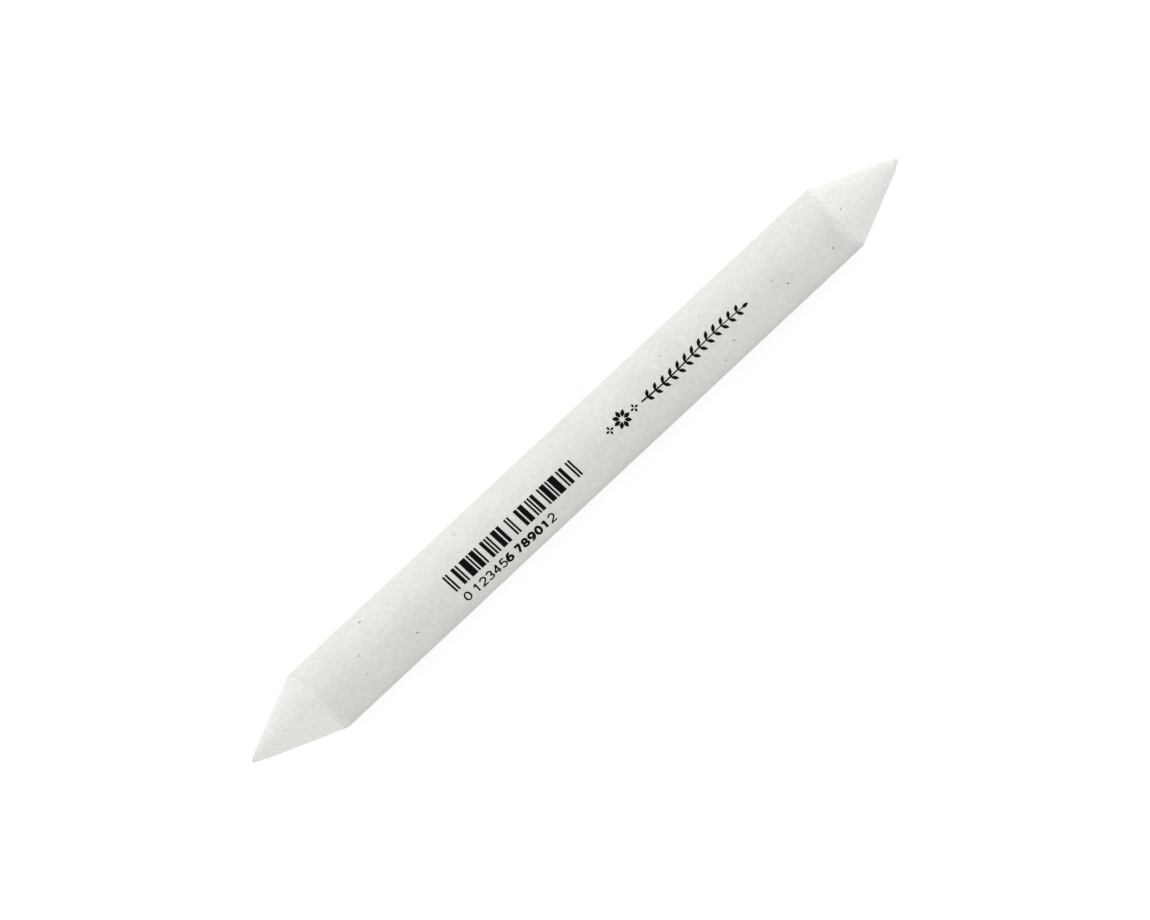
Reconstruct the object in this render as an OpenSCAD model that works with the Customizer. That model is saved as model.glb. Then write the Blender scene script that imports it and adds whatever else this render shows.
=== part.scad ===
// Double-ended blending stump: a stick of wound felt paper, sanded to a point at both ends.
// It lies along X with its middle at the origin, so X is its length and +Z is the printed side.
// All sizes are in millimetres, and all angles are in degrees.

/* [Stump] */
// Length from point to point
stump_length = 147; // [100:1:180]
// Diameter of the barrel, over the cover sheet
barrel_d = 13.2; // [10:0.1:18]

/* [Points] */
// Length of the left point, from its tip to its shoulder
left_point_length = 15; // [10:0.1:24]
// Length of the right point, from its tip to its shoulder
right_point_length = 14.5; // [10:0.1:24]
// Radius of the blunt end of each point
tip_r = 0.65; // [0.3:0.05:0.8]

/* [Paper] */
// Diameter of the tight pith roll that the first felt sheet is wound on
pith_d = 2.4; // [1.8:0.1:3.5]
// Thickness of the soft felt paper
felt_t = 0.4; // [0.25:0.01:0.5]
// Thinnest line of paste between two turns of one sheet
paste_t = 0.05; // [0.04:0.01:0.08]
// Thickness of the smooth cover sheet
cover_t = 0.2; // [0.1:0.01:0.3]
// Width of the gap where the cover sheet's two edges meet
seam_gap = 0.12; // [0.08:0.01:0.3]

/* [Turning] */
// Where the first felt sheet starts and ends, turned up from +Y
climb_angle = 235; // [0:5:355]
// Where the cover sheet's seam lies, turned up from +Y
seam_angle = 285; // [0:5:355]

/* [Hidden] */
NODES = ["pith", "inner_sheet", "middle_sheet", "outer_sheet", "cover_sheet"];
$fn = 96;

felt_sheets = len(NODES) - 2;    // all but the pith and the cover: felt sheets of equal length
barrel_r = barrel_d / 2;
pith_r = pith_d / 2;
felt_r = barrel_r - cover_t;     // outside of the felt paper, which the cover sheet is pasted on
turns = floor((felt_r - pith_r) / (felt_t + paste_t));
pitch = (felt_r - pith_r) / turns;   // one turn of felt paper with its paste
paste = pitch - felt_t;          // the paste takes up what the felt paper leaves
spare = 2;                       // how far a blank stands past what is sanded off it
climb_tilt = 10;                 // how steeply a turn lifts off to climb over its sheet's own edge

// How many turns are on when this many sheets are wound. Sheets of equal length cover equal areas.
function turns_after(sheets) =
    round((sqrt(pith_r^2 + (felt_r^2 - pith_r^2) * sheets / felt_sheets) - pith_r) / pitch);

// Radius of the winding when this many turns are on
function winding_r(n) = pith_r + n * pitch;

// Half angle of a cone of this length, which touches the blunt tip and reaches the barrel's edge
function half_angle(length) =
    atan2(barrel_r, length - tip_r) - asin(tip_r / norm([barrel_r, length - tip_r]));

// ---- Sections across the stump, with x along +Y and y along +Z ----

module ring(outer_r, inner_r) {
    difference() {
        circle(outer_r);
        circle(inner_r);
    }
}

// All that lies beyond the line on which the turns climb, above y = 0 and from x on
module beyond_climb(x) {
    polygon([
        [x, 0],
        [x + barrel_d * tan(climb_tilt), barrel_d],
        [2 * barrel_d, barrel_d],
        [2 * barrel_d, 0]
    ]);
}

// The paste line under one turn: a full ring, left open where the turn before climbs through it
module paste_ring(n) {
    difference() {
        ring(winding_r(n), winding_r(n) - paste);
        beyond_climb(winding_r(n - 1));
    }
}

// The straight stretch of the paste line, where turn n leaves its circle and climbs onto the next.
// On the last turn it runs on, out of the sheet.
module paste_climb(n, is_last) {
    intersection() {
        difference() {
            beyond_climb(winding_r(n) - paste);
            beyond_climb(winding_r(n));
        }
        circle(winding_r(n + 1) + (is_last ? spare : 0));
    }
}

// One felt sheet, wound from its first turn to its last. The paste line runs between its turns
// from the inside to the outside, and so leaves both edges of the sheet feathered.
module wound_section(first, last) {
    difference() {
        ring(winding_r(last), winding_r(first));
        for (n = [first:last - 1]) paste_climb(n, n == last - 1);
        if (last - first > 1)
            for (n = [first + 1:last - 1]) paste_ring(n);
    }
}

module cover_section() {
    difference() {
        ring(barrel_r, felt_r);
        translate([0, -seam_gap / 2]) square([barrel_d, seam_gap]);
    }
}

// ---- The blank and its sanding ----

// Carries a section along X, past both points
module blank() {
    rotate([90, 0, 90])
        linear_extrude(height = stump_length + 2 * spare, center = true) children();
}

// Half the outline of one point, with its tip at the origin and its axis up the page, and all the
// room behind it
module point_outline(length) {
    angle = half_angle(length);
    clear_r = barrel_r + spare;
    touch = tip_r * [cos(angle), 1 - sin(angle)];
    intersection() {
        translate([0, tip_r]) circle(tip_r);
        square(2 * tip_r);
    }
    polygon([
        [0, tip_r],
        touch,
        [clear_r, touch.y + (clear_r - touch.x) / tan(angle)],
        [clear_r, stump_length + spare],
        [0, stump_length + spare]
    ]);
}

// Half the outline of all that the sanding leaves, with the stump's axis up the page
module sanded_outline() {
    intersection() {
        translate([0, -stump_length / 2]) point_outline(left_point_length);
        mirror([0, 1]) translate([0, -stump_length / 2]) point_outline(right_point_length);
    }
}

// Sands both points onto a blank
module sanded() {
    intersection() {
        children();
        rotate([0, 90, 0]) rotate_extrude() sanded_outline();
    }
}

// ---- The pieces ----

module pith() {
    color("#d8d8d4") sanded() blank() circle(pith_r);
}

// Each felt sheet starts a third of a turn on from the last, so that their climbs don't stack up
module felt_sheet(number) {
    start_angle = climb_angle + (number - 1) * 360 / felt_sheets;
    color("#e2e2de") sanded() blank() rotate(start_angle)
        wound_section(turns_after(number - 1), turns_after(number));
}

module cover_sheet() {
    color("#e6e8e3") sanded() blank() rotate(seam_angle) cover_section();
}

pith();
felt_sheet(1);  // inner_sheet
felt_sheet(2);  // middle_sheet
felt_sheet(3);  // outer_sheet
cover_sheet();
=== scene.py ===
"""Finish of a blending stump of wound paper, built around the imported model.

Every piece is paper wound round one axis, so it is a ring between two radii whose ends are cut by the
two sanded points. Shapes are worked out in millimetres, as whole arrays, and become metres when a mesh
is made. The stump lies along X. Angles are turned round it from +Y up towards +Z, so the printed side,
which looks up, is at about 90 degrees.
"""
import math
from types import SimpleNamespace

import bmesh
import bpy
import numpy as np
from mathutils import Matrix, Vector


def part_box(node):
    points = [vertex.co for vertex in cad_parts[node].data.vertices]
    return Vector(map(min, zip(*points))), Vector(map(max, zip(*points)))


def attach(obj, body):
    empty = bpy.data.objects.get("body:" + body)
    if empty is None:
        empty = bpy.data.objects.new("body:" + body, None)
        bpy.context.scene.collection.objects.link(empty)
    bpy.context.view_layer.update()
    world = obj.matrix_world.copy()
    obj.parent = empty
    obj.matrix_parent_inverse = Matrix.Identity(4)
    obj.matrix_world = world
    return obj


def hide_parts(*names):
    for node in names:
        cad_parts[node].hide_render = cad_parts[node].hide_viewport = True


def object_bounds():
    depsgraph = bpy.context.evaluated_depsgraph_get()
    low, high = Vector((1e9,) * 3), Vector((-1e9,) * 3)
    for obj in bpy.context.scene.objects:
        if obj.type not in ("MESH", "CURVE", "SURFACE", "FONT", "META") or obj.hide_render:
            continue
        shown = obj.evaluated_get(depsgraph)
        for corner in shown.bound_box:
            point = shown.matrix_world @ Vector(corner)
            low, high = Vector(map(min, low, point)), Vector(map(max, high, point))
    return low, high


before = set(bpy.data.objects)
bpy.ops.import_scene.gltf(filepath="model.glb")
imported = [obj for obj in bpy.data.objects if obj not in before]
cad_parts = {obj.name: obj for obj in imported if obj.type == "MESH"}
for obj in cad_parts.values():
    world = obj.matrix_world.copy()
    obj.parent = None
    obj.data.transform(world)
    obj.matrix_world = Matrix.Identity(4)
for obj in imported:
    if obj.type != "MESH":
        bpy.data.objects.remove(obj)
cad_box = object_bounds()

MM = 0.001
TAU = 2 * math.pi


# ---- Sizes, read from the frame ----

def reach(node):
    """The lowest and highest X of a CAD node, in millimetres."""
    low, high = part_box(node)
    return low.x / MM, high.x / MM


def outer_radius(node):
    """The radius of a CAD node, as far as it reaches below the axis, in millimetres."""
    return -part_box(node)[0].z / MM


PITH_R = outer_radius("pith")
FELT_SHEETS = ("inner_sheet", "middle_sheet", "outer_sheet")
FELT_R = outer_radius(FELT_SHEETS[-1])
BARREL_R = outer_radius("cover_sheet")

# The winding, as the solids have it. Angles are in degrees: where the first sheet climbs over its own
# edge, how much further round each next sheet does, and how far round a climb takes.
TURNS = 11
PITCH = (FELT_R - PITH_R) / TURNS
FIRST_CLIMB = 235
SHEET_STEP = 360 / len(FELT_SHEETS)
CLIMB_TURN = 24
# Where the cover's two long edges almost meet, and how far apart they stay.
SEAM_ANGLE = 285
SEAM_GAP = 0.12


# ---- Uneven surfaces ----

def ripple(x, y, z, size, seed, waves=26):
    """A smooth uneven field whose mean square is 1, at places given in millimetres.

    It is a sum of sine waves, 0.7 to 1.6 times `size` long, whose directions, lengths and phases come
    from the seed.
    """
    draw = np.random.default_rng(seed)
    way = draw.normal(size=(waves, 3))
    way *= TAU / (size * draw.uniform(0.7, 1.6, waves) * np.linalg.norm(way, axis=1))[:, None]
    phase = draw.uniform(0, TAU, waves)
    total = np.zeros(np.broadcast(x, y, z).shape)
    for (a, b, c), start in zip(way, phase):
        total += np.sin(a * x + b * y + c * z + start)
    return total * math.sqrt(2 / waves)


def round_axis(radius, angle):
    """The Y and Z of places at a radius and an angle in radians round the stump's axis."""
    return radius * np.cos(angle), radius * np.sin(angle)


def bump_at(angle, centre, width):
    """1 at the angle `centre`, in degrees, falling off as a bell curve whose width is in degrees."""
    apart = (np.degrees(angle) - centre + 180) % 360 - 180
    return np.exp(-(apart / width) ** 2)


# ---- The two sanded points ----

# How the hand left each point: the offset of its axis from the stump's, as (Y, Z) at the shoulder and
# at the tip, how oval it is across the diagonals, how far the tip is worn down, and the angles where
# the cover's edge tore and where it wore thin the furthest.
HAND_SANDING = {
    -1: dict(at_shoulder=(0.34, -0.1), at_tip=(0.12, 0.0), oval=0.01, tip_wear=0.18,
             tears=(74, 151, 214, 322), worn_at=190),
    1: dict(at_shoulder=(-0.12, -0.3), at_tip=(0.0, 0.0), oval=-0.024, tip_wear=0.3,
            tears=(33, 104, 187, 268), worn_at=130),
}
# The higher this power, the flatter the worn tip and the tighter its bend into the slope.
TIP_POWER = 5
# How much the slope's depth wavers round a point, as a share of itself.
WAVER = 0.008

# The sanded felt's relief, as depths and sizes in millimetres.
GROOVE_DEPTH, GROOVE_WIDTH, CROWN = 0.003, 0.05, 0.001
FLAT_DEPTH, FLAT_SIZE = 0.03, 6
LUMP_DEPTH, LUMP_SIZE = 0.007, 1.3
LONG_FUZZ_DEPTH, LONG_FUZZ_SIZE = 0.003, 0.38
SHORT_FUZZ_DEPTH, SHORT_FUZZ_SIZE = 0.002, 0.2


def sanded_point(side):
    """The point on that side, -1 or +1, as the frame gives it, with its hand-made unevenness.

    Its slope joins the ends of the cover's and the inner sheet's inner walls, and `blunt` is how far
    the worn tip stops short of the slope's apex.
    """
    end = (side + 1) // 2
    far, near = reach("inner_sheet")[end], reach("cover_sheet")[end]
    slope = (FELT_R - PITH_R) / abs(far - near)
    apex = far + side * PITH_R / slope
    blunt = abs(apex - reach("pith")[end])
    return SimpleNamespace(side=side, apex=apex, slope=slope, blunt=blunt, **HAND_SANDING[side])


POINTS = {side: sanded_point(side) for side in (-1, 1)}


def sanded_x(point, radius, angle, relief=0.0):
    """The X at which the sanded surface crosses a radius and an angle, `relief` below the smooth point.

    The depth behind the apex is a root of the sum of two powers, of `blunt` and of the distance from
    the point's own axis over the slope, so the tip is round and the slope straight. Relief is measured
    square to the surface.
    """
    y, z = round_axis(radius, angle)
    share = np.clip(radius / BARREL_R, 0, 1)
    off_y = point.at_tip[0] + (point.at_shoulder[0] - point.at_tip[0]) * share
    off_z = point.at_tip[1] + (point.at_shoulder[1] - point.at_tip[1]) * share
    uneven = point.oval * np.sin(2 * (math.pi / 2 - angle)) * share
    uneven = uneven + WAVER * ripple(*round_axis(2, angle), 0, size=2.4, seed=31 + point.side)
    cone_depth = np.hypot(y - off_y, z - off_z) * (1 + uneven) / point.slope
    depth = (cone_depth ** TIP_POWER + point.blunt ** TIP_POWER) ** (1 / TIP_POWER)
    steepness = (cone_depth / depth) ** (TIP_POWER - 1) / point.slope
    return point.apex - point.side * (depth + relief * np.hypot(1, steepness))


def from_paste(radius, angle, climb_at):
    """How far a place is from the nearest paste line between two turns, in millimetres.

    The lines are circles a pitch apart, and within a short turn after `climb_at` each climbs to the
    next.
    """
    past = (angle - math.radians(climb_at)) % TAU
    climbed = np.clip(past / math.radians(CLIMB_TURN), 0, 1)
    turn = (radius - PITH_R) / PITCH - climbed
    return np.abs((turn + 0.5) % 1 - 0.5) * PITCH


def felt_relief(x, radius, angle, paste_away):
    """How far the sanded felt lies below the smooth cone, in millimetres.

    A narrow groove follows each paste line, the soft turns between are slightly crowned, and broad
    flats from the sanding block, low lumps and short fuzz lie over them.
    """
    y, z = round_axis(radius, angle)
    groove = GROOVE_DEPTH * np.exp(-(paste_away / GROOVE_WIDTH) ** 2)
    crowned = CROWN * (1 - 2 * paste_away / PITCH)
    flats = FLAT_DEPTH * (1 + 0.4 * ripple(x, y, z, FLAT_SIZE, seed=3))
    lumps = LUMP_DEPTH * ripple(x, y, z, LUMP_SIZE, seed=4)
    fuzz = (LONG_FUZZ_DEPTH * ripple(x, y, z, LONG_FUZZ_SIZE, seed=5)
            + SHORT_FUZZ_DEPTH * ripple(x, y, z, SHORT_FUZZ_SIZE, seed=6))
    return groove + crowned + np.maximum(flats + lumps + fuzz, 0)


# ---- Meshes ----

def grid_faces(rows, columns, rows_close, columns_close):
    """Four-cornered faces over a grid of points, which may close on itself either way.

    Rows run along +X on an outer wall and columns run round from +Y to +Z, so that faces point out.
    """
    index = np.arange(rows * columns).reshape(rows, columns)
    if rows_close:
        index = np.vstack([index, index[:1]])
    if columns_close:
        index = np.hstack([index, index[:, :1]])
    corners = [index[:-1, :-1], index[:-1, 1:], index[1:, 1:], index[1:, :-1]]
    return np.stack(corners, axis=-1).reshape(-1, 4)


def make_piece(name, points, faces, material, crease=20, **attributes):
    """A mesh object of points in millimetres, smooth but for edges sharper than `crease` degrees."""
    mesh = bpy.data.meshes.new(name)
    mesh.from_pydata(np.reshape(points, (-1, 3)) * MM, [], faces)
    mesh.polygons.foreach_set("use_smooth", np.ones(len(mesh.polygons), bool))
    mesh.set_sharp_from_angle(angle=math.radians(crease))
    for key, values in attributes.items():
        layer = mesh.attributes.new(key, "FLOAT", "POINT")
        layer.data.foreach_set("value", np.ravel(values).astype(np.float32))
    mesh.materials.append(material)
    mesh.update()
    piece = bpy.data.objects.new(name, mesh)
    bpy.context.scene.collection.objects.link(piece)
    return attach(piece, "root")


def stand_for(piece, node):
    """Lets the piece stand for a CAD node, whose own mesh it hides."""
    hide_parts(node)
    return piece


def across_turns(inner, outer, steps=10, crowding=0.55):
    """Radii from one paste line to another, closest together at the lines between turns.

    Within a turn, a sine wave of one period is taken off even steps.
    """
    turns = round((outer - inner) / PITCH)
    step = np.linspace(0, 1, steps + 1)[:-1]
    eased = step - crowding * np.sin(TAU * step) / TAU
    radii = inner + (np.arange(turns)[:, None] + eased) * (outer - inner) / turns
    return np.append(radii.ravel(), outer)


def wound_sheet(node, name, inner, climb_at, material, columns=480):
    """A wound felt sheet: a closed ring between two radii, whose two ends are the sanded slopes.

    One row of points lies at each radius of a slope, on the left from the inner wall out and on the
    right back in, and the walls join the slopes' first and last rows.
    """
    radii = across_turns(inner, outer_radius(node))
    angle = np.arange(columns) / columns * TAU
    rows, lines = [], []
    for side, row_radii in ((-1, radii), (1, radii[::-1])):
        radius = row_radii[:, None] + 0 * angle
        away = from_paste(radius, angle, climb_at)
        smooth = sanded_x(POINTS[side], radius, angle)
        x = sanded_x(POINTS[side], radius, angle, felt_relief(smooth, radius, angle, away))
        rows.append(np.stack([x, *round_axis(radius, angle)], axis=-1))
        lines.append(away)
    points = np.concatenate(rows)
    faces = grid_faces(len(points), columns, True, True)
    piece = make_piece(name, points, faces, material, from_paste=np.concatenate(lines))
    return stand_for(piece, node)


def rolled_pith(name, material, columns=200, steps=22):
    """The tight core roll: a rod whose ends are the two blunt, worn tips, closed at the axis by fans.

    A tip is worn down by a depth that grows from the roll's rim to its axis, less the square of the
    radius over the rim's, and it meets the felt's relief at the rim.
    """
    radii = PITH_R * (np.arange(1, steps + 1) / steps) ** 0.8
    angle = np.arange(columns) / columns * TAU
    rows = []
    for side, row_radii in ((-1, radii), (1, radii[::-1])):
        radius = row_radii[:, None] + 0 * angle
        smooth = sanded_x(POINTS[side], radius, angle)
        y, z = round_axis(radius, angle)
        edge_relief = felt_relief(sanded_x(POINTS[side], PITH_R, angle), PITH_R, angle, 0)
        inside = 1 - (radius / PITH_R) ** 2
        dents = 0.02 * ripple(smooth, y, z, size=0.6, seed=7)
        worn = edge_relief + inside * (POINTS[side].tip_wear + dents)
        x = sanded_x(POINTS[side], radius, angle, np.maximum(worn, 0))
        rows.append(np.stack([x, y, z], axis=-1))
    points = np.concatenate(rows)
    faces = grid_faces(len(points), columns, False, True).tolist()
    count = points.shape[0] * columns
    first, last = np.arange(columns), np.arange(count - columns, count)
    faces += [(count, b, a) for a, b in zip(first, np.roll(first, -1))]
    faces += [(count + 1, a, b) for a, b in zip(last, np.roll(last, -1))]
    poles = [(points[row, :, 0].mean(), 0, 0) for row in (0, -1)]
    points = np.vstack([points.reshape(-1, 3), poles])
    from_tip = np.minimum(*(np.abs(points[:, 0] - pole[0]) for pole in poles))
    piece = make_piece(name, points, faces, material, from_paste=from_tip)
    return stand_for(piece, "pith")


def barrel_radius(x, angle):
    """The radius of the cover's outer wall: nearly the barrel's, less long shallow flats and cockles.

    The roll is a hair thicker towards +X, where the hand that wound it pulled less. The flats run
    seven times as long as they are wide, and the cockles 1.6 times.
    """
    y, z = round_axis(BARREL_R, angle)
    slack = 0.028 - 0.0003 * x
    flats = 0.016 * ripple(x / 7, y, z, size=5.5, seed=11)
    cockle = 0.005 * ripple(x / 1.6, y, z, size=2.6, seed=12)
    return BARREL_R - np.maximum(slack + flats + cockle, 0)


def cover_edge(point, angle):
    """The X of the cover's outer edge: where the slope meets the barrel, frayed and torn back.

    Each tear is half a millimetre deep, with one half as deep a few degrees on.
    """
    y, z = round_axis(BARREL_R, angle)
    frayed = (0.05 * np.abs(ripple(0, y, z, size=1.1, seed=21 + point.side))
              + 0.03 * np.abs(ripple(0, y, z, size=0.35, seed=24 + point.side)))
    torn = sum(0.5 * bump_at(angle, at, 4.5) + 0.25 * bump_at(angle, at + 8, 3) for at in point.tears)
    return sanded_x(point, BARREL_R + 0 * angle, angle) - point.side * (frayed + torn)


def seam_stray(x, past_seam, stray=0.02, reach_round=0.1):
    """How far, as an angle, the cover's cut edges stray along the seam, fading out away from them.

    They stray by about `stray` millimetres, each edge in its own way, and what is left of that falls
    off exponentially over the angle `reach_round` from each.
    """
    past_other = past_seam[-1] - past_seam
    fade = np.exp(-past_seam / reach_round) - np.exp(-past_other / reach_round)
    return stray / BARREL_R * fade * ripple(x, np.sign(fade) * 20, 0, size=9, seed=15)


def wrapped_cover(name, material, columns=480, near_rows=10, rows=104):
    """The cover: one sheet bent round the felt until its long edges almost meet at the seam.

    A loop of points runs along the outer wall from edge to edge, crowded near the frayed edges where
    the paper lifts, then back along the inner wall, whose ends stand a little proud of the sanded felt.
    The first and last loops close the seam's edges. The lift falls off exponentially from an edge.
    The distance from an edge is handed to the paint, longer where the edge wore thin less far.
    """
    half_gap = SEAM_GAP / 2 / BARREL_R
    start = math.radians(SEAM_ANGLE) + half_gap
    angle = np.linspace(start, start + TAU - 2 * half_gap, columns)
    left, right = (cover_edge(POINTS[side], angle) for side in (-1, 1))
    near_reach, crowding = 1.8, 1.7
    inset = near_reach * (np.arange(near_rows) / (near_rows - 1))[:, None] ** crowding
    share = np.linspace(0, 1, rows)[1:-1, None]
    low, high = left + inset[-1], right - inset[-1]
    x = np.concatenate([left + inset, low + (high - low) * share, right - inset[::-1]])
    edge_away = np.minimum(x - left, right - x)
    angle = angle + seam_stray(x, angle - start)
    y, z = round_axis(BARREL_R, angle)
    own_side = np.sign(x) * 9
    lift = (0.022 * ripple(own_side, y, z, size=2.2, seed=13)
            + 0.012 * ripple(own_side, y, z, size=0.7, seed=14))
    lift_reach = 0.4
    radius = np.minimum(barrel_radius(x, angle) + lift * np.exp(-edge_away / lift_reach), BARREL_R)
    outer = np.stack([x, *round_axis(radius, angle)], axis=-1)
    inner = []
    for side, end in ((1, angle[-1]), (-1, angle[0])):
        smooth = sanded_x(POINTS[side], FELT_R, end)
        relief = 0.7 * felt_relief(smooth, FELT_R, end, 0)
        wall_x = sanded_x(POINTS[side], FELT_R, end, relief)
        inner.append(np.stack([wall_x, *round_axis(FELT_R, end)], axis=-1))
    points = np.concatenate([outer, inner])
    count = len(points)
    faces = grid_faces(count, columns, True, False).tolist()
    loop = np.arange(count) * columns
    faces += [loop[::-1].tolist(), (loop + columns - 1).tolist()]
    worn_at = np.where(x < 0, POINTS[-1].worn_at, POINTS[1].worn_at)
    worn_reach = 0.6 + 0.4 * np.cos(angle - np.radians(worn_at))
    away = np.concatenate([edge_away / worn_reach, np.zeros((2, columns))])
    piece = make_piece(name, points, faces, material, from_edge=away)
    return stand_for(piece, "cover_sheet")


# ---- Loose fibres on the sanded slopes ----

def sanding_fuzz(name, material, count=260, rings=6, sides=3):
    """Short paper fibres that the sanding raised: thin tapered tubes, each rooted in a slope.

    About a third of them stand at the cover's edge, and the others anywhere on the slopes. A fibre
    leaves its root in a drawn direction that lies mostly along the slope and curls with the square of
    its length, and it stays off the floor. Its rings are small triangles square to its first direction.
    """
    draw = np.random.default_rng(41)
    side = np.where(draw.random(count) < 0.5, -1, 1)
    at_edge = draw.random(count) < 0.35
    radius = np.where(at_edge, BARREL_R - 0.1 * draw.random(count),
                      0.1 + (BARREL_R - 0.2) * draw.random(count))
    angle = TAU * draw.random(count)
    rooted = 0.05
    x = np.where(side < 0, sanded_x(POINTS[-1], radius, angle, rooted),
                 sanded_x(POINTS[1], radius, angle, rooted))
    root = np.stack([x, *round_axis(radius, angle)], axis=-1)
    out = np.stack([side * 0.38, *round_axis(0.92, angle)], axis=-1)
    round_way = np.stack([0 * angle, -np.sin(angle), np.cos(angle)], axis=-1)
    down_way = np.cross(out, round_way)
    turn = (TAU * draw.random(count))[:, None]
    way = np.cos(turn) * round_way + np.sin(turn) * down_way + draw.uniform(0.08, 0.3, (count, 1)) * out
    way /= np.linalg.norm(way, axis=1)[:, None]
    curl = draw.normal(size=(count, 3)) * 0.4 - 0.35 * out
    length = draw.uniform(0.15, 0.5, (count, 1, 1))
    step = np.linspace(0, 1, rings)[:, None]
    path = root[:, None] + way[:, None] * step * length + curl[:, None] * (step * length) ** 2
    off_floor = 0.03
    path[..., 2] = np.maximum(path[..., 2], off_floor - BARREL_R)
    across = np.cross(way, draw.normal(size=(count, 3)))
    across /= np.linalg.norm(across, axis=1)[:, None]
    beside = np.cross(way, across)
    root_radius, taper = 0.014, 0.6
    thick = root_radius * (1 - taper * step)
    spoke = np.arange(sides) / sides * TAU
    ring = (np.cos(spoke)[:, None] * across[:, None, None]
            + np.sin(spoke)[:, None] * beside[:, None, None])
    points = path[:, :, None] + thick[:, :, None] * ring
    one = grid_faces(rings, sides, False, True)[:, ::-1]
    start = np.arange(count)[:, None] * rings * sides
    faces = (start[:, :, None] + one).reshape(-1, 4).tolist()
    faces += (start + np.arange(sides)[::-1]).tolist()
    faces += (start + (rings - 1) * sides + np.arange(sides)).tolist()
    piece = make_piece(name, points, faces, material, crease=180)
    return piece


# ---- Print ----

# How far a stroke of ink reaches above and below the paper's face, and how much wider than drawn the
# bars dry, as the ink soaks in.
INK_ABOVE = 0.012
INK_BELOW = 0.03
INK_SPREAD = 0.05
# The angle of the middle of the print.
PRINT_CENTRE = 92.9


def stroke(path, width, across=None, columns=5):
    """The top of one inked stroke, as rows of (x, s) places: a path swept with a width.

    x runs along the stump and s is the arc length round the barrel, down the print. Places lie evenly
    from one edge of the stroke to the other, square to the path or along the fixed way `across`.
    """
    path = np.asarray(path, float)
    if across is None:
        ahead = np.gradient(path, axis=0)
        ahead /= np.linalg.norm(ahead, axis=1)[:, None]
        across = np.stack([-ahead[:, 1], ahead[:, 0]], axis=-1)
    share = np.linspace(-0.5, 0.5, columns)
    spread = np.broadcast_to(width, len(path))[:, None, None] * share[:, None]
    return path[:, None] + spread * np.broadcast_to(across, path.shape)[:, None]


def on_cover(x, s, height):
    """Places above the cover: `x` along the stump, and `s` round it from the middle of the print."""
    angle = math.radians(PRINT_CENTRE) + s / BARREL_R
    return np.stack([x, *round_axis(barrel_radius(x, angle) + height, angle)], axis=-1)


def on_slope(x, s, height):
    """Places above the right point's felt: `x` along the stump on an even cone, and `s` round it."""
    point = POINTS[1]
    radius = point.slope * (point.apex - x)
    angle = math.radians(PRINT_CENTRE) + s / radius
    relief = felt_relief(sanded_x(point, radius, angle), radius, angle, PITCH / 2)
    on_felt = sanded_x(point, radius, angle, relief - height)
    return np.stack([on_felt, *round_axis(radius, angle)], axis=-1)


def printed(name, strokes, material, place=on_cover):
    """Strokes of ink as thin closed solids wrapped on the paper, which they follow in every hollow.

    Each stroke's top lies just above the paper and its foot just inside it.
    """
    all_points, all_faces, count = [], [], 0
    for top in strokes:
        flat = np.concatenate([top, top[:, ::-1]], axis=1)
        rows, columns = flat.shape[:2]
        height = np.where(np.arange(columns) < columns // 2, INK_ABOVE, -INK_BELOW)
        all_points.append(place(flat[..., 0], flat[..., 1], height).reshape(-1, 3))
        faces = grid_faces(rows, columns, False, True)
        ends = np.stack([np.arange(columns)[::-1], (rows - 1) * columns + np.arange(columns)])
        all_faces += (faces + count).tolist() + (ends + count).tolist()
        count += rows * columns
    piece = make_piece(name, np.concatenate(all_points), all_faces, material, crease=40)
    mend_normals(piece)
    return piece


def mend_normals(piece):
    """Turns the faces of each closed stroke outwards, whichever way its path ran."""
    work = bmesh.new()
    work.from_mesh(piece.data)
    bmesh.ops.recalc_face_normals(work, faces=work.faces)
    work.to_mesh(piece.data)
    work.free()


def arc(centre_x, centre_y, radius_x, radius_y, start, end, steps=20):
    """Places along an arc of an ellipse, from one angle in degrees to another."""
    turn = np.radians(np.linspace(start, end, steps))
    return np.stack([centre_x + radius_x * np.cos(turn),
                     centre_y + radius_y * np.sin(turn)], axis=-1)


def line(*corners):
    """Evenly spaced places along the straight line between two corners."""
    return np.linspace(corners[:2], corners[2:], 8)


# The middle lines of plain upright numerals, in a box 0.6 wide and 1 high.
NUMERALS = {
    "0": [arc(0.3, 0.5, 0.3, 0.5, 0, 360, 33)],
    "1": [line(0.08, 0.76, 0.34, 1), line(0.34, 1.03, 0.34, -0.05)],
    "2": [arc(0.3, 0.7, 0.29, 0.3, 165, -38), line(0.535, 0.52, 0.0, 0), line(-0.06, 0, 0.62, 0)],
    "3": [arc(0.28, 0.745, 0.26, 0.255, 160, -90), arc(0.28, 0.245, 0.31, 0.245, 90, -160)],
    "4": [line(0.44, -0.05, 0.44, 1.03), line(0.43, 1, 0.0, 0.3), line(-0.05, 0.28, 0.64, 0.28)],
    "5": [line(0.57, 1, 0.1, 1), line(0.12, 1.02, 0.05, 0.5), arc(0.28, 0.32, 0.31, 0.32, 145, -155)],
    "6": [arc(0.3, 0.31, 0.3, 0.31, 0, 360, 29), arc(0.38, 0.33, 0.38, 0.67, 180, 70)],
    "7": [line(-0.02, 1, 0.62, 1), line(0.57, 1, 0.2, -0.05)],
    "8": [arc(0.3, 0.75, 0.25, 0.25, 0, 360, 27), arc(0.3, 0.25, 0.3, 0.25, 0, 360, 29)],
    "9": [arc(0.3, 0.69, 0.3, 0.31, 0, 360, 29), arc(0.22, 0.67, 0.38, 0.67, 0, -110)],
}


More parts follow.
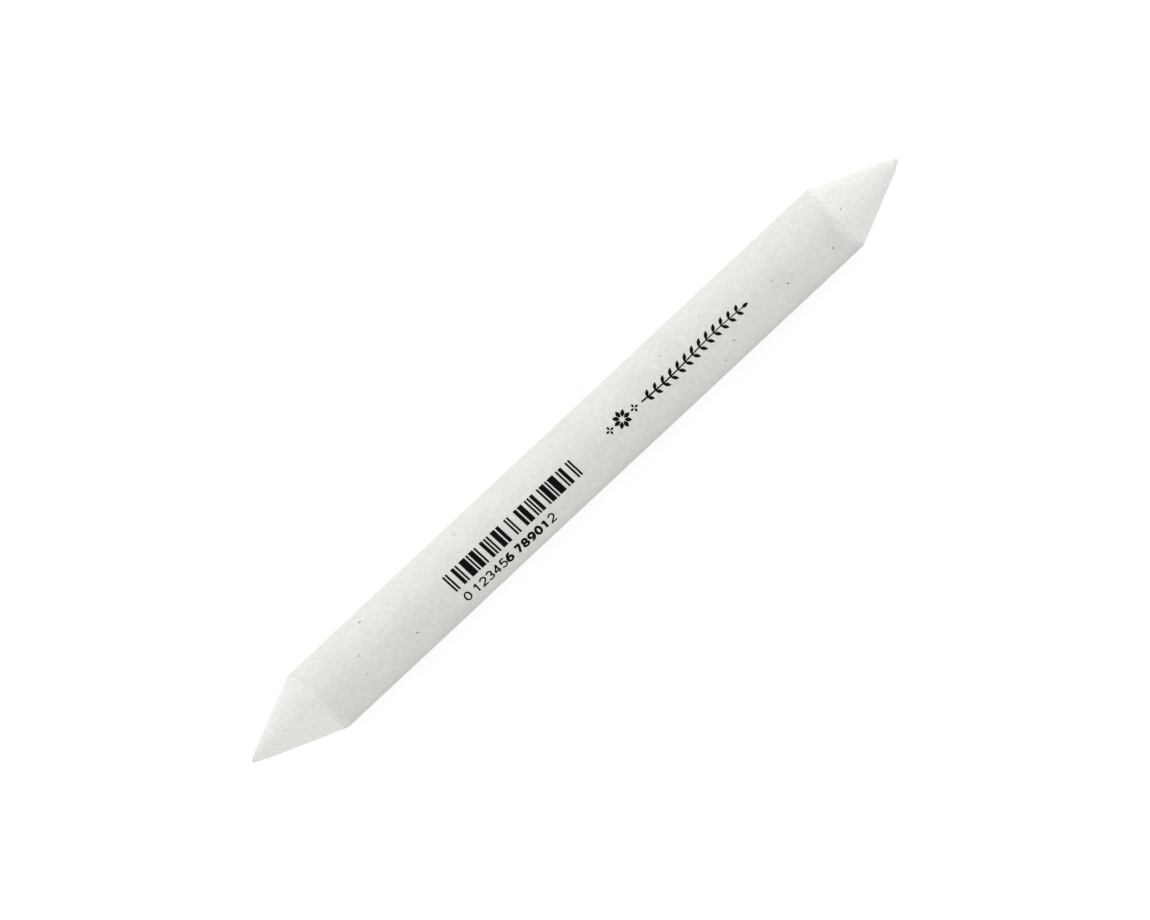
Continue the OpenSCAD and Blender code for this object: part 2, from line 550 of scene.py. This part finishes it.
def numeral_strokes(text, start, foot, height, advance, gap, weights):
    """The strokes of a row of numerals that counts up, thin or bold as `weights` says for each."""
    strokes, x = [], start
    weight_of = iter(weights)
    for letter in text:
        if letter == " ":
            x += gap
            continue
        weight = next(weight_of)
        scale = height - weight
        for path in NUMERALS[letter]:
            place = np.stack([x + path[:, 0] * scale,
                              foot - weight / 2 - path[:, 1] * scale], axis=-1)
            strokes.append(stroke(place, weight))
        x += advance
    return strokes


def bar_strokes(start, top, foot, module, lean, steps=16):
    """Upright bars in a made-up rhythm that stands for nothing: a phrase and its mirror image.

    Bars and gaps are whole numbers of `module` wide, and `lean` is how far a bar shifts per length.
    """
    bars = [1, 1, 2, 1, 4, 1, 3, 1, 2, 1, 1, 3, 2, 1]
    gaps = [1, 3, 1, 2, 1, 1, 1, 3, 1, 1, 2, 1, 4, 1]
    widths = bars + bars[::-1]
    spaces = gaps + gaps[-2::-1] + [0]
    strokes, x = [], start
    s = np.linspace(top, foot, steps)
    for bar, space in zip(widths, spaces):
        middle = x + bar * module / 2 + lean * (s - (top + foot) / 2)
        strokes.append(stroke(np.stack([middle, s], axis=-1), bar * module + INK_SPREAD, (1, 0)))
        x += (bar + space) * module
    return strokes


def leaf(centre, start, length, width, turn, steps=15):
    """A pointed leaf that leaves a centre at an angle: widest in its middle, by a half sine wave."""
    share = np.linspace(0.02, 0.98, steps)
    way = np.array([math.cos(math.radians(turn)), math.sin(math.radians(turn))])
    path = np.array(centre) + (start + share * length)[:, None] * way
    return stroke(path, width * np.sin(np.pi * share))


def rosette_strokes(centre, radius):
    """A plain rosette of eight leaves with a smaller four-leaved one at each side.

    Where a leaf starts, how long and how wide it is are shares of the large rosette's radius.
    """
    strokes = [leaf(centre, 0.22 * radius, 0.78 * radius, 0.42 * radius, turn)
               for turn in range(0, 360, 45)]
    for way in (-1, 1):
        beside = (centre[0] + way * 1.62 * radius, centre[1])
        strokes += [leaf(beside, 0.06 * radius, 0.42 * radius, 0.24 * radius, turn)
                    for turn in range(0, 360, 90)]
    return strokes


def sprig_strokes(start, end, middle, height, pairs, steps=60):
    """A leafy sprig: a thin stem that tapers along a slow wave, and pairs of leaves that slant forward.

    The leaves grow shorter towards both ends, by the root of a half sine wave, and one ends the stem.
    The wave's depth and the leaves' lengths and widths are shares of the sprig's height.
    """
    x = np.linspace(start, end, steps)
    wave = 0.09 * height * np.sin(TAU * (x - start) / (end - start))
    thick, thin = 0.3, 0.16
    strokes = [stroke(np.stack([x, middle + wave], axis=-1), np.linspace(thick, thin, steps))]
    share = (np.arange(pairs) + 0.7) / (pairs + 0.6)
    foot = np.interp(start + share * (end - start), x, middle + wave)
    long = height * (0.44 + 0.2 * np.sqrt(np.sin(np.pi * share)))
    for at, s, length in zip(start + share * (end - start), foot, long):
        strokes += [leaf((at, s), 0.05, length, 0.25 * height, way * 50) for way in (-1, 1)]
    return strokes + [leaf((end - 0.3, middle), 0, 0.55 * height, 0.25 * height, 0)]


# ---- Flecks in the paper ----

# The larger flecks: how far along the stump, how far round it from the print's middle, and how long.
LARGE_FLECKS = ((54.9, 3.5, 0.5), (-44.5, -5.7, 0.5), (45.4, 2.5, 0.42), (21.7, -3.5, 0.34),
                (32.5, 3.4, 0.36), (29.3, 5.3, 0.4), (-38.7, 2.9, 0.4), (-48.4, -1.1, 0.34),
                (-49.4, 2.1, 0.28), (-23.2, -5.6, 0.32), (43.7, 0.2, 0.28), (30.9, -3.8, 0.26),
                (-35.9, -3.6, 0.2), (-21.0, -4.5, 0.18))
# The flecks in the right point's felt, given in the same way.
SLOPE_FLECKS = ((60.8, -0.6, 0.28), (66.4, -7.0, 0.14), (63.9, 8.2, 0.17), (60.2, 13.5, 0.13))


def cover_flecks(draw, count=70, reach_along=57):
    """A few large flecks on the printed side, and small ones all round."""
    x = draw.uniform(-reach_along, reach_along, count)
    s = draw.uniform(-0.5, 0.5, count) * TAU * BARREL_R
    return [*LARGE_FLECKS, *zip(x, s, draw.uniform(0.08, 0.17, count))]


def fleck_strokes(flecks, draw, steps=13):
    """Dark flecks pressed into the paper, each a short stroke with blunt ends that bends as a parabola.

    Its width is the root of a half sine wave, which a second wave makes uneven.
    """
    share = np.linspace(0, 1, steps)
    rounded = np.sqrt(np.sin(np.pi * np.clip(share, 0.02, 0.98)))
    strokes = []
    for centre_x, centre_s, length in flecks:
        turn, bend, phase = draw.uniform(0, TAU), draw.normal() * 0.5, draw.uniform(0, TAU)
        along, aside = (share - 0.5) * length, bend * length * (share - 0.5) ** 2
        path = np.stack([centre_x + along * math.cos(turn) - aside * math.sin(turn),
                         centre_s + along * math.sin(turn) + aside * math.cos(turn)], axis=-1)
        uneven = 1 + 0.16 * np.sin(1.6 * TAU * share + phase)
        strokes.append(stroke(path, 0.48 * length * rounded * uneven))
    return strokes


# ---- Materials ----

def paint(hex_colour):
    """An sRGB hex colour as linear red, green, blue and alpha."""
    parts = [int(hex_colour[i:i + 2], 16) / 255 for i in (1, 3, 5)]
    return [p / 12.92 if p <= 0.04045 else ((p + 0.055) / 1.055) ** 2.4 for p in parts] + [1.0]


def per_mm(size):
    """The texture scale at which a pattern's grains are `size` millimetres across."""
    return 1 / (size * MM)


def add(tree, kind, settings=None, inputs=None):
    """Adds one node with its options. An input is a plain value, or another node's output to link."""
    made = tree.nodes.new(kind)
    for name, value in (settings or {}).items():
        setattr(made, name, value)
    for name, value in (inputs or {}).items():
        if isinstance(value, bpy.types.NodeSocket):
            tree.links.new(value, made.inputs[name])
        else:
            made.inputs[name].default_value = value
    return made


# The sockets of a colour mix: its two colours, and the colour that comes out.
MIX_A, MIX_B, MIX_OUT = 6, 7, 2
MIX = dict(data_type="RGBA")


def new_material(name):
    """An empty node material, with its tree and the object's own coordinates to place patterns by."""
    material = bpy.data.materials.new(name)
    material.use_nodes = True
    material.node_tree.nodes.clear()
    tree = material.node_tree
    return material, tree, add(tree, "ShaderNodeTexCoord").outputs["Object"]


def cover_paper():
    """Machine-glazed sulphite paper: pressed smooth on a hot roll, uncoated and unbleached white.

    The eye sees an even cool off-white with a faint cloudy mottle where fibres clump, a few pale and
    dark fibres, a dull surface, and grey handling marks towards the sanded shoulders.
    """
    material, tree, place = new_material("machine_glazed_cover_paper")
    cloud = add(tree, "ShaderNodeTexNoise", inputs=dict(
        Vector=place, Scale=per_mm(7), Detail=2.0, Roughness=0.5)).outputs["Fac"]
    mottle = add(tree, "ShaderNodeTexNoise", inputs=dict(
        Vector=place, Scale=per_mm(0.8), Detail=4.0, Roughness=0.68)).outputs["Fac"]
    mottled = add(tree, "ShaderNodeMapRange", inputs={
        "Value": mottle, "From Min": 0.3, "From Max": 0.7}).outputs["Result"]
    base = add(tree, "ShaderNodeMix", MIX, {
        0: mottled, MIX_A: paint("#D6D7D2"), MIX_B: paint("#E4E4DF")}).outputs[MIX_OUT]
    clouded = add(tree, "ShaderNodeMapRange", inputs={
        "Value": cloud, "From Min": 0.45, "From Max": 0.75, "To Max": 0.4}).outputs["Result"]
    base = add(tree, "ShaderNodeMix", MIX, {
        0: clouded, MIX_A: base, MIX_B: paint("#D2D3CF")}).outputs[MIX_OUT]
    hairs = add(tree, "ShaderNodeTexNoise", inputs=dict(
        Vector=place, Scale=per_mm(2.2), Detail=1.5, Distortion=0.8)).outputs["Fac"]
    off_middle = add(tree, "ShaderNodeMath", dict(operation="SUBTRACT"), {0: hairs, 1: 0.5}).outputs[0]
    off_middle = add(tree, "ShaderNodeMath", dict(operation="ABSOLUTE"), {0: off_middle}).outputs[0]
    hair = add(tree, "ShaderNodeMapRange", inputs={
        "Value": off_middle, "From Min": 0.0, "From Max": 0.012, "To Min": 0.6, "To Max": 0.0}
        ).outputs["Result"]
    hair = add(tree, "ShaderNodeMath", dict(operation="MULTIPLY"), {0: hair, 1: mottled}).outputs[0]
    base = add(tree, "ShaderNodeMix", MIX, {
        0: hair, MIX_A: base, MIX_B: paint("#E9E9E5")}).outputs[MIX_OUT]
    edge = add(tree, "ShaderNodeAttribute", dict(attribute_name="from_edge")).outputs["Fac"]
    near_edge = add(tree, "ShaderNodeMapRange", dict(interpolation_type="SMOOTHSTEP"), {
        "Value": edge, "From Min": 0.2, "From Max": 6.0, "To Min": 0.1, "To Max": 0.0}
        ).outputs["Result"]
    soil = add(tree, "ShaderNodeMath", dict(operation="MULTIPLY"), {0: near_edge, 1: cloud}).outputs[0]
    base = add(tree, "ShaderNodeMix", MIX, {
        0: soil, MIX_A: base, MIX_B: paint("#BFC0BD")}).outputs[MIX_OUT]
    worn = add(tree, "ShaderNodeMath", dict(operation="MULTIPLY_ADD"), {0: mottle, 1: -1.2, 2: edge}
               ).outputs[0]
    feather = add(tree, "ShaderNodeMapRange", dict(interpolation_type="SMOOTHSTEP"), {
        "Value": worn, "From Min": -0.7, "From Max": 0.5, "To Min": 0.95, "To Max": 0.0}
        ).outputs["Result"]
    base = add(tree, "ShaderNodeMix", MIX, {
        0: feather, MIX_A: base, MIX_B: paint("#E5E5E2")}).outputs[MIX_OUT]
    grain = add(tree, "ShaderNodeTexNoise", inputs=dict(
        Vector=place, Scale=per_mm(0.22), Detail=2.0)).outputs["Fac"]
    height = add(tree, "ShaderNodeMath", dict(operation="MULTIPLY_ADD"), {
        0: mottle, 1: 2.0, 2: grain}).outputs[0]
    bump = add(tree, "ShaderNodeBump", inputs=dict(
        Height=height, Strength=0.5, Distance=0.02 * MM)).outputs["Normal"]
    shader = add(tree, "ShaderNodeBsdfPrincipled", inputs={
        "Base Color": base, "Roughness": 0.72, "IOR": 1.47, "Normal": bump}).outputs[0]
    add(tree, "ShaderNodeOutputMaterial", inputs=dict(Surface=shader))
    return material


def felt_paper(name, pale, deep, paste_colour, paste_strength, paste_reach):
    """Unsized felt paper, sanded across its turns: soft, thirsty and raised in a nap.

    The eye sees a lighter, warmer and softer white than the cover, short woolly fibres, and faint
    rings where the paste between two turns shows on the slope. On the pith it shows at the tips.
    """
    material, tree, place = new_material(name)
    nap = add(tree, "ShaderNodeTexNoise", inputs=dict(
        Vector=place, Scale=per_mm(0.55), Detail=4.0, Roughness=0.65, Distortion=0.5)).outputs["Fac"]
    napped = add(tree, "ShaderNodeMapRange", inputs={
        "Value": nap, "From Min": 0.3, "From Max": 0.7}).outputs["Result"]
    base = add(tree, "ShaderNodeMix", MIX, {
        0: napped, MIX_A: paint(deep), MIX_B: paint(pale)}).outputs[MIX_OUT]
    away = add(tree, "ShaderNodeAttribute", dict(attribute_name="from_paste")).outputs["Fac"]
    near = add(tree, "ShaderNodeMapRange", dict(interpolation_type="SMOOTHSTEP"), {
        "Value": away, "From Min": 0.2 * paste_reach, "From Max": paste_reach,
        "To Min": paste_strength, "To Max": 0.0}
        ).outputs["Result"]
    patches = add(tree, "ShaderNodeTexNoise", inputs=dict(
        Vector=place, Scale=per_mm(2.5), Detail=1.0)).outputs["Fac"]
    patches = add(tree, "ShaderNodeMapRange", inputs={
        "Value": patches, "From Min": 0.35, "From Max": 0.65}).outputs["Result"]
    patchy = add(tree, "ShaderNodeMath", dict(operation="MULTIPLY"), {0: near, 1: patches}).outputs[0]
    base = add(tree, "ShaderNodeMix", MIX, {
        0: patchy, MIX_A: base, MIX_B: paint(paste_colour)}).outputs[MIX_OUT]
    fuzz = add(tree, "ShaderNodeTexNoise", inputs=dict(
        Vector=place, Scale=per_mm(0.16), Detail=2.0, Distortion=1.0)).outputs["Fac"]
    height = add(tree, "ShaderNodeMath", dict(operation="MULTIPLY_ADD"), {
        0: nap, 1: 2.0, 2: fuzz}).outputs[0]
    bump = add(tree, "ShaderNodeBump", inputs=dict(
        Height=height, Strength=0.6, Distance=0.04 * MM)).outputs["Normal"]
    shader = add(tree, "ShaderNodeBsdfPrincipled", inputs={
        "Base Color": base, "Roughness": 0.95, "Diffuse Roughness": 1.0, "IOR": 1.45,
        "Specular IOR Level": 0.25, "Sheen Weight": 0.12, "Sheen Roughness": 0.5,
        "Normal": bump}).outputs[0]
    add(tree, "ShaderNodeOutputMaterial", inputs=dict(Surface=shader))
    return material


def printing_ink():
    """Black flexographic ink on uncoated paper: a thin dull film, sunk in and slightly uneven.

    The eye sees a soft warm black, a little greyer where the paper's clumps took less of it.
    """
    material, tree, place = new_material("flexographic_black_ink")
    uptake = add(tree, "ShaderNodeTexNoise", inputs=dict(
        Vector=place, Scale=per_mm(0.35), Detail=2.0, Roughness=0.6)).outputs["Fac"]
    thin = add(tree, "ShaderNodeMapRange", inputs={
        "Value": uptake, "From Min": 0.52, "From Max": 0.8}).outputs["Result"]
    base = add(tree, "ShaderNodeMix", MIX, {
        0: thin, MIX_A: paint("#080807"), MIX_B: paint("#1E1D1A")}).outputs[MIX_OUT]
    shader = add(tree, "ShaderNodeBsdfPrincipled", inputs={
        "Base Color": base, "Roughness": 0.7, "IOR": 1.5, "Specular IOR Level": 0.06}).outputs[0]
    add(tree, "ShaderNodeOutputMaterial", inputs=dict(Surface=shader))
    return material


def wood_fleck():
    """A shive, a speck of bark or dark fibre that the pulp's washing missed: dull grey-brown."""
    material, tree, place = new_material("shive_in_the_pulp")
    shade = add(tree, "ShaderNodeTexNoise", inputs=dict(Vector=place, Scale=per_mm(8))).outputs["Fac"]
    spread = add(tree, "ShaderNodeMapRange", inputs={
        "Value": shade, "From Min": 0.35, "From Max": 0.65}).outputs["Result"]
    base = add(tree, "ShaderNodeMix", MIX, {
        0: spread, MIX_A: paint("#55544F"), MIX_B: paint("#86857F")}).outputs[MIX_OUT]
    shader = add(tree, "ShaderNodeBsdfPrincipled", inputs={
        "Base Color": base, "Roughness": 0.85}).outputs[0]
    add(tree, "ShaderNodeOutputMaterial", inputs=dict(Surface=shader))
    return material


def shown_ray(tree):
    """1 where a ray comes from the camera, a reflection or a pane, and 0 where it only lights."""
    path = add(tree, "ShaderNodeLightPath").outputs
    total = add(tree, "ShaderNodeMath", dict(operation="ADD"), {
        0: path["Is Camera Ray"], 1: path["Is Glossy Ray"]}).outputs[0]
    return add(tree, "ShaderNodeMath", dict(operation="ADD", use_clamp=True), {
        0: total, 1: path["Is Transmission Ray"]}).outputs[0]


def studio_floor():
    """White seamless board: it lights the stump from below and shows white, with the stump's shadow.

    Painted shade: the colour it throws back as light is painted darker on the side away from the
    window,
    and a dark strip painted along the stump there darkens the stump's lower edge. The eye sees neither:
    the board shows white where it is fully lit, and keeps part of every shadow.
    """
    material, tree, place = new_material("white_seamless_board")
    axes = add(tree, "ShaderNodeSeparateXYZ", inputs=dict(Vector=place)).outputs
    # Painted shade: the light the board throws back is painted darker on the side away from the window.
    painted_shade_falloff = add(tree, "ShaderNodeMapRange", dict(interpolation_type="SMOOTHSTEP"), {
        "Value": axes["Y"], "From Min": -20 * MM, "From Max": 20 * MM}).outputs["Result"]
    colour = add(tree, "ShaderNodeMix", MIX, {
        0: painted_shade_falloff, MIX_A: paint("#D8D8D6"), MIX_B: paint("#F4F4F2")}).outputs[MIX_OUT]
    # Painted shade: a dark strip, deeper towards +X, is painted into the board's bounce colour beside
    # the stump to darken its lower edge; no card lies there.
    painted_strip_depth = add(tree, "ShaderNodeMapRange", inputs={
        "Value": axes["X"], "From Min": -60 * MM, "From Max": 60 * MM, "To Min": 0.5, "To Max": 1.0}
        ).outputs["Result"]
    painted_strip_middle, painted_strip_half, painted_strip_fade = 10.5 * MM, 3.0 * MM, 5.0 * MM
    beyond = add(tree, "ShaderNodeMath", dict(operation="ADD"), {
        0: axes["Y"], 1: painted_strip_middle}).outputs[0]
    beyond = add(tree, "ShaderNodeMath", dict(operation="ABSOLUTE"), {0: beyond}).outputs[0]
    painted_strip = add(tree, "ShaderNodeMapRange", inputs={
        "Value": beyond, "From Min": painted_strip_half, "From Max": painted_strip_fade,
        "To Min": painted_strip_depth, "To Max": 0.0}).outputs["Result"]
    colour = add(tree, "ShaderNodeMix", MIX, {
        0: painted_strip, MIX_A: colour, MIX_B: paint("#080808")}).outputs[MIX_OUT]
    board = add(tree, "ShaderNodeBsdfDiffuse", inputs=dict(Color=colour)).outputs[0]
    shaded = add(tree, "ShaderNodeBsdfDiffuse", inputs=dict(Color=paint("#9A9A9A"))).outputs[0]
    glow = add(tree, "ShaderNodeEmission", inputs=dict(
        Color=paint("#FFFFFF"), Strength=0.763)).outputs[0]
    lifted = add(tree, "ShaderNodeAddShader", inputs={0: shaded, 1: glow}).outputs[0]
    surface = add(tree, "ShaderNodeMixShader", inputs={
        0: shown_ray(tree), 1: board, 2: lifted}).outputs[0]
    add(tree, "ShaderNodeOutputMaterial", inputs=dict(Surface=surface))
    return material


# ---- Studio ----

def studio():
    """A white board under the stump, an even white sky, and low window light from its +Y side."""
    floor_z = cad_box[0].z
    half_side = 3.0
    ways = ((-1, -1), (1, -1), (1, 1), (-1, 1))
    corners = [(x * half_side, y * half_side, floor_z) for x, y in ways]
    mesh = bpy.data.meshes.new("floor")
    mesh.from_pydata(corners, [], [(0, 1, 2, 3)])
    mesh.materials.append(studio_floor())
    floor = bpy.data.objects.new("floor", mesh)
    bpy.context.scene.collection.objects.link(floor)

    world = bpy.data.worlds.new("white_studio")
    bpy.context.scene.world = world
    world.use_nodes = True
    tree = world.node_tree
    tree.nodes.clear()
    sky_level = 0.92
    strength = add(tree, "ShaderNodeMapRange", inputs={
        "Value": shown_ray(tree), "To Min": sky_level, "To Max": 1.0}).outputs["Result"]
    sky = add(tree, "ShaderNodeBackground", inputs=dict(
        Color=paint("#FFFFFF"), Strength=strength)).outputs[0]
    add(tree, "ShaderNodeOutputWorld", inputs=dict(Surface=sky))

    lamp_level = 0.31
    way = Vector((0.58, 0.8, 0.18)).normalized()
    light = bpy.data.lights.new("window", "SUN")
    light.angle = math.radians(20)
    # A sun of this strength adds lamp_level to a white surface that faces it.
    light.energy = lamp_level * math.pi
    lamp = bpy.data.objects.new("window", light)
    lamp.rotation_mode = "QUATERNION"
    lamp.rotation_quaternion = (-way).to_track_quat("-Z", "Y")
    bpy.context.scene.collection.objects.link(lamp)


def camera():
    """A long lens over the stump, a little in front of it, with the stump turned up to the right."""
    # Two angles in degrees, a distance in metres, and the width in view at the stump in millimetres.
    elevation, turned, distance, shown_width = 88.0, 43.1, 1.0, 191.0
    lift, swing = math.radians(elevation), math.radians(turned)
    # The level way in which the camera looks, so that the stump's +X end rises to the right.
    ahead = math.pi / 2 - math.atan2(math.tan(swing), math.sin(lift))
    level = Vector((math.cos(ahead), math.sin(ahead), 0))
    back = Vector((-level.x * math.cos(lift), -level.y * math.cos(lift), math.sin(lift)))
    right = Vector((level.y, -level.x, 0))
    up = right.cross(-back)
    data = bpy.data.cameras.new("camera")
    data.sensor_width = 36.0
    data.lens = data.sensor_width * distance / (shown_width * MM)
    made = bpy.data.objects.new("camera", data)
    # The stump's middle lies this far right of the frame's middle and above it.
    aside, above = 0.18 * MM, -0.02 * MM
    aim = (cad_box[0] + cad_box[1]) / 2 - right * aside - up * above
    turn = Matrix((right, up, back)).transposed()
    made.matrix_world = Matrix.Translation(aim + back * distance) @ turn.to_4x4()
    bpy.context.scene.collection.objects.link(made)
    bpy.context.scene.camera = made


# ---- The stump ----

def stump():
    """Builds the roll from the pith outwards, its cover, the loose fibres, the print and the flecks."""
    felt = felt_paper("sanded_felt_paper", pale="#F5F5F2", deep="#E9E9E6",
                      paste_colour="#C4C3BE", paste_strength=0.3, paste_reach=0.022)
    pith = felt_paper("rolled_pith_paper", pale="#F5F5F2", deep="#E8E8E5",
                      paste_colour="#A5A4A0", paste_strength=0.26, paste_reach=0.6)
    cover = cover_paper()
    rolled_pith("rolled_pith", pith)
    inner = PITH_R
    for number, node in enumerate(FELT_SHEETS):
        wound_sheet(node, "wound_" + node, inner, FIRST_CLIMB + number * SHEET_STEP, felt)
        inner = outer_radius(node)
    wrapped_cover("wrapped_cover_sheet", cover)
    sanding_fuzz("sanding_fuzz", felt)

    ink = printing_ink()
    thin, bold = 0.31, 0.48
    artwork = {
        "printed_bars": bar_strokes(start=-29.5, top=-1.1, foot=2.36, module=0.307, lean=0.075),
        "printed_numbers": numeral_strokes(
            "0 123456 789012", start=-29.0, foot=5.5, height=2.05, advance=1.485, gap=0.56,
            weights=[thin] * 6 + [bold] * 6 + [thin]),
        "printed_rosette": rosette_strokes(centre=(10.0, 0.1), radius=1.7),
        "printed_sprig": sprig_strokes(start=14.3, end=37.3, middle=0.2, height=2.5, pairs=13),
    }
    for name, strokes in artwork.items():
        printed(name, strokes, ink)
    shive, draw = wood_fleck(), np.random.default_rng(52)
    printed("paper_flecks", fleck_strokes(cover_flecks(draw), draw), shive)
    printed("felt_flecks", fleck_strokes(SLOPE_FLECKS, draw), shive, on_slope)


stump()
studio()
camera()
bpy.context.scene.view_settings.view_transform = "Standard"
